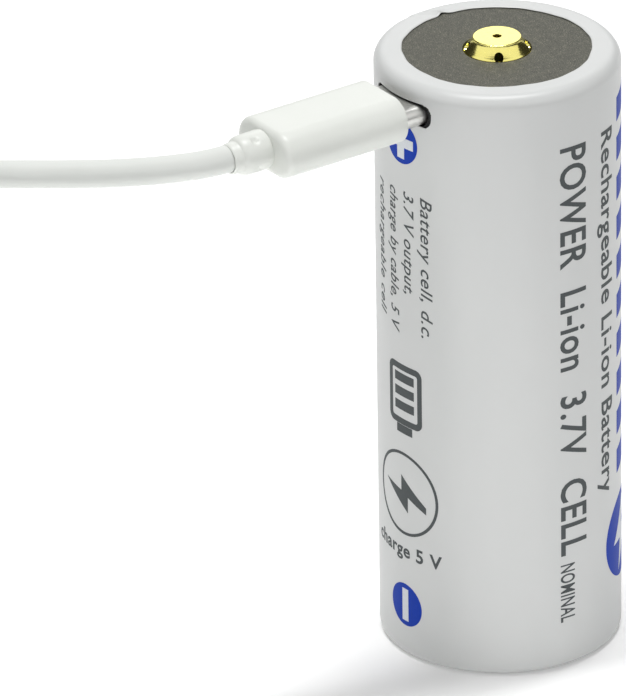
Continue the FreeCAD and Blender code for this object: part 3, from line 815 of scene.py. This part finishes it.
def make_collar(name, front, x, z, node):
    """Strain relief: a barrel spun about the cable, with a step at its end and four dimples.

    The radius is the barrel's profile less a bell-shaped dent at each dimple.  The wide end is
    at front, whichever way the plug faces.
    """
    count = 72
    distance, barrel = np.array(BARREL).T * MM
    angle = ring_angles(count)[None, :]
    dent = np.zeros((len(distance), count))
    for number in range(DIMPLE_COUNT):
        turn = math.radians(360 * number / DIMPLE_COUNT + DIMPLE_TURN)
        around = angle_from(angle, turn) * BARREL_RADIUS / DIMPLE_SIZE[0]
        along = (distance[:, None] - DIMPLE_PLACE) / DIMPLE_SIZE[1]
        dent = dent + DIMPLE_DEPTH * np.exp(-around ** 4 - along ** 4)
    bore = np.full((2, count), CABLE_DIAMETER / 2 - 0.06 * MM)
    radius = np.concatenate([barrel[:, None] - dent, bore])
    distance = np.concatenate([distance, distance[[-1, 0]]])
    points = np.stack([x + radius * np.cos(angle), front - distance[:, None] + 0 * angle,
                       z + radius * np.sin(angle)], axis=2)
    collar = surface(name, points, loop_rows=True)
    return finish_piece(collar, FINISHES["plug_plastic"], "charging_cable", "plug_plastic", node)


# ---------------------------------------------------------------- printed marks
INK_HEIGHT = 0.018 * MM
INK_DEPTH = 0.03 * MM
LETTER_SPACING = 1.08
SLICES = ((0, 0.5), (1, 1.5))   # distance in millimetres between cuts across x and across y
# Plain words that read downwards, in millimetres: name, words, length, height of the capitals,
# place round the cell, height of the first letter, then slant and added weight.
WORDS = [
    ("heavy_line", "POWER  Li-ion  3.7V  CELL", 48.9, 3.4, 19.5, 62.6, 0.0, 0.016),
    ("small_word", "NOMINAL", 7.0, 1.8, 19.4, 12.6, 0.0, 0.012),
    ("medium_line", "Rechargeable Li-ion Battery", 43.6, 2.35, 25.6, 62.6, 0.0, 0.016),
    ("note_1", "Battery cell, d.c.", 16.7, 1.5, 3.5, 56.5, 0.28, 0.006),
    ("note_2", "3.7 V output,", 12.2, 1.5, 1.0, 56.5, 0.28, 0.006),
    ("note_3", "charge by cable, 5 V", 17.2, 1.5, -1.5, 56.4, 0.28, 0.006),
    ("note_4", "rechargeable cell", 16.0, 1.4, -4.1, 56.3, 0.28, 0.006),
]
SIGN_PLACE = 0.6
BOLT = [(0.10, 0.5), (-0.32, -0.06), (-0.04, -0.06), (-0.12, -0.5), (0.32, 0.10), (0.04, 0.10),
        (0.22, 0.5)]


def flat_sheet(outlines, bands=()):
    """Flat mesh from closed outlines, and from bands that join an outer to an inner outline."""
    loops = [np.array(points) for points in outlines]
    loops += [np.array(side) for band in bands for side in band]
    starts = np.cumsum([0] + [len(points) for points in loops])
    faces = [list(range(starts[number], starts[number + 1])) for number in range(len(outlines))]
    for number, (outer, _) in enumerate(bands):
        first, second = starts[len(outlines) + 2 * number:][:2]
        step = np.arange(len(outer))
        beside = (step + 1) % len(outer)
        faces += np.stack([first + step, first + beside,
                           second + beside, second + step], axis=1).tolist()
    flat = np.concatenate(loops)
    mesh = bpy.data.meshes.new("sheet")
    mesh.from_pydata(np.column_stack([flat, np.zeros(len(flat))]).tolist(), [], faces)
    return mesh


def positions(mesh):
    """A mesh's vertices as an array of rows."""
    flat = np.empty(len(mesh.vertices) * 3)
    mesh.vertices.foreach_get("co", flat)
    return flat.reshape(-1, 3)


def type_mesh(words, slant, weight):
    """Flat mesh of a line of type."""
    curve = bpy.data.curves.new("type", "FONT")
    curve.body = words
    curve.shear = slant
    curve.offset = weight
    curve.space_character = LETTER_SPACING
    curve.fill_mode = "FRONT"
    curve.resolution_u = 4
    line = bpy.data.objects.new("type", curve)
    bpy.context.scene.collection.objects.link(line)
    graph = bpy.context.evaluated_depsgraph_get()
    mesh = bpy.data.meshes.new_from_object(line.evaluated_get(graph))
    bpy.data.objects.remove(line)
    return mesh


def type_sheet(words, length, cap_height, slant, weight):
    """Flat mesh of a line of type, scaled to a length and to the height of its capitals."""
    capital = positions(type_mesh("H", slant, weight))[:, 1].max()
    mesh = type_mesh(words, slant, weight)
    points = positions(mesh)
    left, right = points[:, 0].min(), points[:, 0].max()
    points = (points - (left, 0, 0)) * (length / (right - left), cap_height / capital, 1)
    mesh.vertices.foreach_set("co", points.ravel())
    return mesh


def print_on_sleeve(name, flat_mesh, finish, arc, height, downward=False):
    """Lays a flat mark, drawn in millimetres, on the sleeve as a thin closed skin of ink.

    x runs round the cell and y up it, or, for a mark that reads downwards, x runs down and y
    round.  The mark is sliced so that it can follow the curve, and each point goes to the
    sleeve's own radius plus the ink's height or less its depth.
    """
    flat = positions(flat_mesh)
    if downward:
        flat = flat[:, [1, 0, 2]] * (1, -1, 1)
        flat_mesh.vertices.foreach_set("co", flat.ravel())
    sheet = bmesh.new()
    sheet.from_mesh(flat_mesh)
    bmesh.ops.remove_doubles(sheet, verts=sheet.verts, dist=1e-4)
    bmesh.ops.triangulate(sheet, faces=sheet.faces)
    for axis, step in SLICES:
        direction = Vector((1 - axis, axis, 0))
        first = math.floor(flat[:, axis].min() / step) + 1
        for line in np.arange(first, flat[:, axis].max() / step) * step:
            bmesh.ops.bisect_plane(sheet, geom=sheet.verts[:] + sheet.edges[:] + sheet.faces[:],
                                   plane_co=direction * line, plane_no=direction, dist=1e-5)
    bmesh.ops.triangulate(sheet, faces=sheet.faces)
    raised = bmesh.ops.extrude_face_region(sheet, geom=sheet.faces[:], use_keep_orig=True)["geom"]
    top = [item for item in raised if isinstance(item, bmesh.types.BMVert)]
    bmesh.ops.translate(sheet, verts=top, vec=(0, 0, 1))
    mesh = bpy.data.meshes.new(name)
    sheet.to_mesh(mesh)
    sheet.free()
    flat = positions(mesh)
    angle = (flat[:, 0] + arc) * MM / SLEEVE_RADIUS - math.pi / 2
    level = (flat[:, 1] + height) * MM
    radius = SLEEVE_RADIUS + sleeve_swell(angle, level)
    radius = radius + np.where(flat[:, 2] > 0.5, INK_HEIGHT, -INK_DEPTH)
    round_points = np.stack([radius * np.cos(angle), radius * np.sin(angle), level], axis=1)
    mesh.vertices.foreach_set("co", round_points.ravel())
    settle(mesh)
    mark = bpy.data.objects.new(name, mesh)
    bpy.context.scene.collection.objects.link(mark)
    return finish_piece(mark, finish, "cell", "sleeve_film")


def circle(radius):
    """Points round a circle."""
    angle = np.arange(72) * TAU / 72
    return list(zip(radius * np.cos(angle), radius * np.sin(angle)))


def rectangle(width, height, x=0.0):
    """Corners of a rectangle whose centre is at x."""
    right, top = width / 2, height / 2
    return [(x - right, -top), (x + right, -top), (x + right, top), (x - right, top)]


def rounded_box(width, height, corner):
    """Points of a rounded rectangle."""
    across, upward = outline(width, height, corner, ring_angles(32))
    return list(zip(across, upward))


def bolt(size):
    """Zigzag bolt, size tall."""
    return [(x * size, y * size) for x, y in BOLT]


def plus(size, stroke):
    """Corners of a plus sign."""
    near = stroke / 2
    far = size / 2
    return [(-near, -far), (near, -far), (near, -near), (far, -near), (far, near), (near, near),
            (near, far), (-near, far), (-near, near), (-far, near), (-far, -near), (-near, -near)]


def print_marks():
    """Every printed mark: polarity signs, plain words and plain pictograms."""
    minus_sign = rectangle(1.0, 3.9)
    plus_sign = plus(3.9, 1.15)
    for sign, level, shape in (("minus", 6.3, minus_sign), ("plus", 62.2, plus_sign)):
        print_on_sleeve(f"{sign}_disc", flat_sheet([circle(2.55)]), INK_BLUE, SIGN_PLACE, level)
        lift_ink(print_on_sleeve(f"{sign}_sign", flat_sheet([shape]), INK_WHITE,
                                 SIGN_PLACE, level))
    for name, words, length, capital, place, level, slant, weight in WORDS:
        line = type_sheet(words, length, capital, slant, weight)
        print_on_sleeve(name, line, INK_GREY, place, level, True)
    line = type_sheet("charge 5 V", 11.3, 1.6, 0.0, 0.022)
    print_on_sleeve("round_line", line, INK_GREY, -5.4, 12.2)

    terminal = rectangle(1.0, 2.6, 4.2)
    bars = [rectangle(1.05, 3.2, x) for x in (-2.0, -0.3, 1.4)]
    case = (rounded_box(7.3, 5.5, 0.9), rounded_box(5.8, 4.2, 0.3))
    print_on_sleeve("gauge_mark", flat_sheet([terminal, *bars], [case]), INK_GREY,
                    0.7, 31.9, True)
    ring = (circle(5.0), circle(4.65))
    print_on_sleeve("bolt_mark", flat_sheet([bolt(6.8)], [ring]), INK_GREY, 0.5, 19.9, True)
    stripes = [[(0, y), (7.0, y + 1.2), (7.0, y + 4.0), (0, y + 2.8)]
               for y in np.arange(0, 44, 4.7)]
    print_on_sleeve("blue_stripes", flat_sheet(stripes), INK_BLUE, 29.5, 20.0)
    print_on_sleeve("blue_disc", flat_sheet([circle(5.1)]), INK_BLUE, 31.6, 12.0)
    lift_ink(print_on_sleeve("disc_bolt", flat_sheet([bolt(8.4)]), INK_WHITE, 31.2, 12.0))


def lift_ink(mark):
    """Raises a mark by one more coat of ink, so that it lies on the mark beneath."""
    points = positions(mark.data)
    outward = np.hypot(points[:, 0], points[:, 1])
    points[:, :2] *= ((outward + INK_HEIGHT) / outward)[:, None]
    mark.data.vertices.foreach_set("co", points.ravel())


# ---------------------------------------------------------------- stage
SURROUND = 0.30
SURROUND_IN_REFLECTIONS = 0.03
FLOOR_REACH = 4
FRONT_CARD_TURNS = (100, 140, 180, 220, 260)


def soft_light(name, turn, distance, height, size, radiance, only_gloss=False, aim=60 * MM):
    """Rectangular light aimed at a height on the cell's axis, its width along the horizontal.

    It stands at a distance and height, turned in degrees from straight behind the object.
    Its energy is its radiance times pi times its area.  A light with only_gloss shows in
    reflections and lights no matt surface.
    """
    lamp = bpy.data.lights.new(name, "AREA")
    lamp.shape = "RECTANGLE"
    lamp.size, lamp.size_y = size
    lamp.energy = radiance * math.pi * size[0] * size[1]
    light = bpy.data.objects.new(name, lamp)
    bearing = math.radians(turn) + CAMERA_AZIMUTH + math.pi / 2
    position = Vector((distance * math.cos(bearing), distance * math.sin(bearing), height))
    away = (position - Vector((0, 0, aim))).normalized()
    width = Vector((-math.sin(bearing), math.cos(bearing), 0))
    light.matrix_world = Matrix.Translation(position) @ Matrix(
        (width, away.cross(width), away)).transposed().to_4x4()
    light.visible_camera = False
    light.visible_diffuse = not only_gloss
    bpy.context.scene.collection.objects.link(light)


def make_world():
    """Even white surround, dimmer in reflections so that polished metal keeps its contrast."""
    world = bpy.data.worlds.new("studio")
    bpy.context.scene.world = world
    world.use_nodes = True
    background = world.node_tree.nodes["Background"]
    background.inputs["Color"].default_value = (1, 1, 1, 1)
    path = world.node_tree.nodes.new("ShaderNodeLightPath")
    gloss = Wire(world.node_tree, path.outputs["Is Glossy Ray"])
    strength = SURROUND - (SURROUND - SURROUND_IN_REFLECTIONS) * gloss
    connect(world.node_tree, strength, background.inputs["Strength"])


def make_stage():
    """Plain pale floor, a white surround and soft lights.

    The front cards stand upright side by side, so that they reflect as one even band.
    """
    finish = Finish("studio_floor", Roughness=0.9, Specular_IOR_Level=0.1,
                    Emission_Color=(1, 1, 1, 1), Emission_Strength=0.13)
    finish.colour(linear(251, 251, 251))
    mesh = bpy.data.meshes.new("studio_floor")
    corners = [(x * FLOOR_REACH, y * FLOOR_REACH, 0)
               for x, y in ((-1, -1), (1, -1), (1, 1), (-1, 1))]
    mesh.from_pydata(corners, [], [(0, 1, 2, 3)])
    mesh.materials.append(finish.material)
    floor = bpy.data.objects.new("studio_floor", mesh)
    bpy.context.scene.collection.objects.link(floor)
    make_world()
    soft_light("overhead", turn=25, distance=0.11, height=1.5, size=(0.95, 0.22), radiance=32.0)
    soft_light("low_wash", turn=150, distance=0.8, height=0.16, size=(0.6, 0.3), radiance=0.15)
    soft_light("base_wash", turn=175, distance=0.11, height=0.016, size=(0.14, 0.025),
               radiance=2.4, aim=2 * MM)
    soft_light("back_card", turn=0, distance=0.9, height=0.52, size=(0.9, 0.45), radiance=1.6,
               only_gloss=True)
    for turn in FRONT_CARD_TURNS:
        soft_light(f"front_card_{turn}", turn, distance=0.8, height=0.73, size=(0.585, 0.97),
                   radiance=0.92, only_gloss=True, aim=0.73)
    bpy.context.scene.view_settings.view_transform = "Standard"


# ---------------------------------------------------------------- everything
def paint_cad_nodes():
    """Gives every carried-over node the finish of its slot."""
    for entry in frame["record"]["subparts"]:
        node = frame["nodes"][entry["node"]]
        node.data.materials.clear()
        node.data.materials.append(FINISHES[entry["material_slot"]].material)


def make_pieces():
    """All new pieces, and the cable with what is on it."""
    make_sleeve()
    make_button()
    print_marks()
    grip = make_grip("charging_grip", GRIP_FACE, GRIP_REAR, (GRIP_WIDTH, GRIP_THICKNESS),
                     GRIP_THICKNESS / 2, PLUG_EDGES, PLUG_POCKET, 0.0, PORT_HEIGHT, "plug_grip")
    collar = make_collar("charging_collar", GRIP_REAR, 0.0, PORT_HEIGHT, "plug_collar")
    supply_low = low("supply_grip")
    supply_high = high("supply_grip")
    width, _, height = supply_high - supply_low
    supply_x, _, supply_z = (supply_low + supply_high) / 2
    supply_grip = make_grip("supply_body", supply_low[1], supply_high[1], (width, height),
                            SUPPLY_CORNER, SUPPLY_EDGES, SUPPLY_POCKET, supply_x, supply_z,
                            "supply_grip")
    supply_collar = make_collar("supply_relief", supply_high[1] + COLLAR_LENGTH,
                                supply_x, supply_z, "supply_collar")
    finish_piece(cable, FINISHES["cable_jacket"], "charging_cable", "cable_jacket",
                 "cable_run", "cable_coil", "cable_tail")


paint_cad_nodes()
make_pieces()
make_stage()
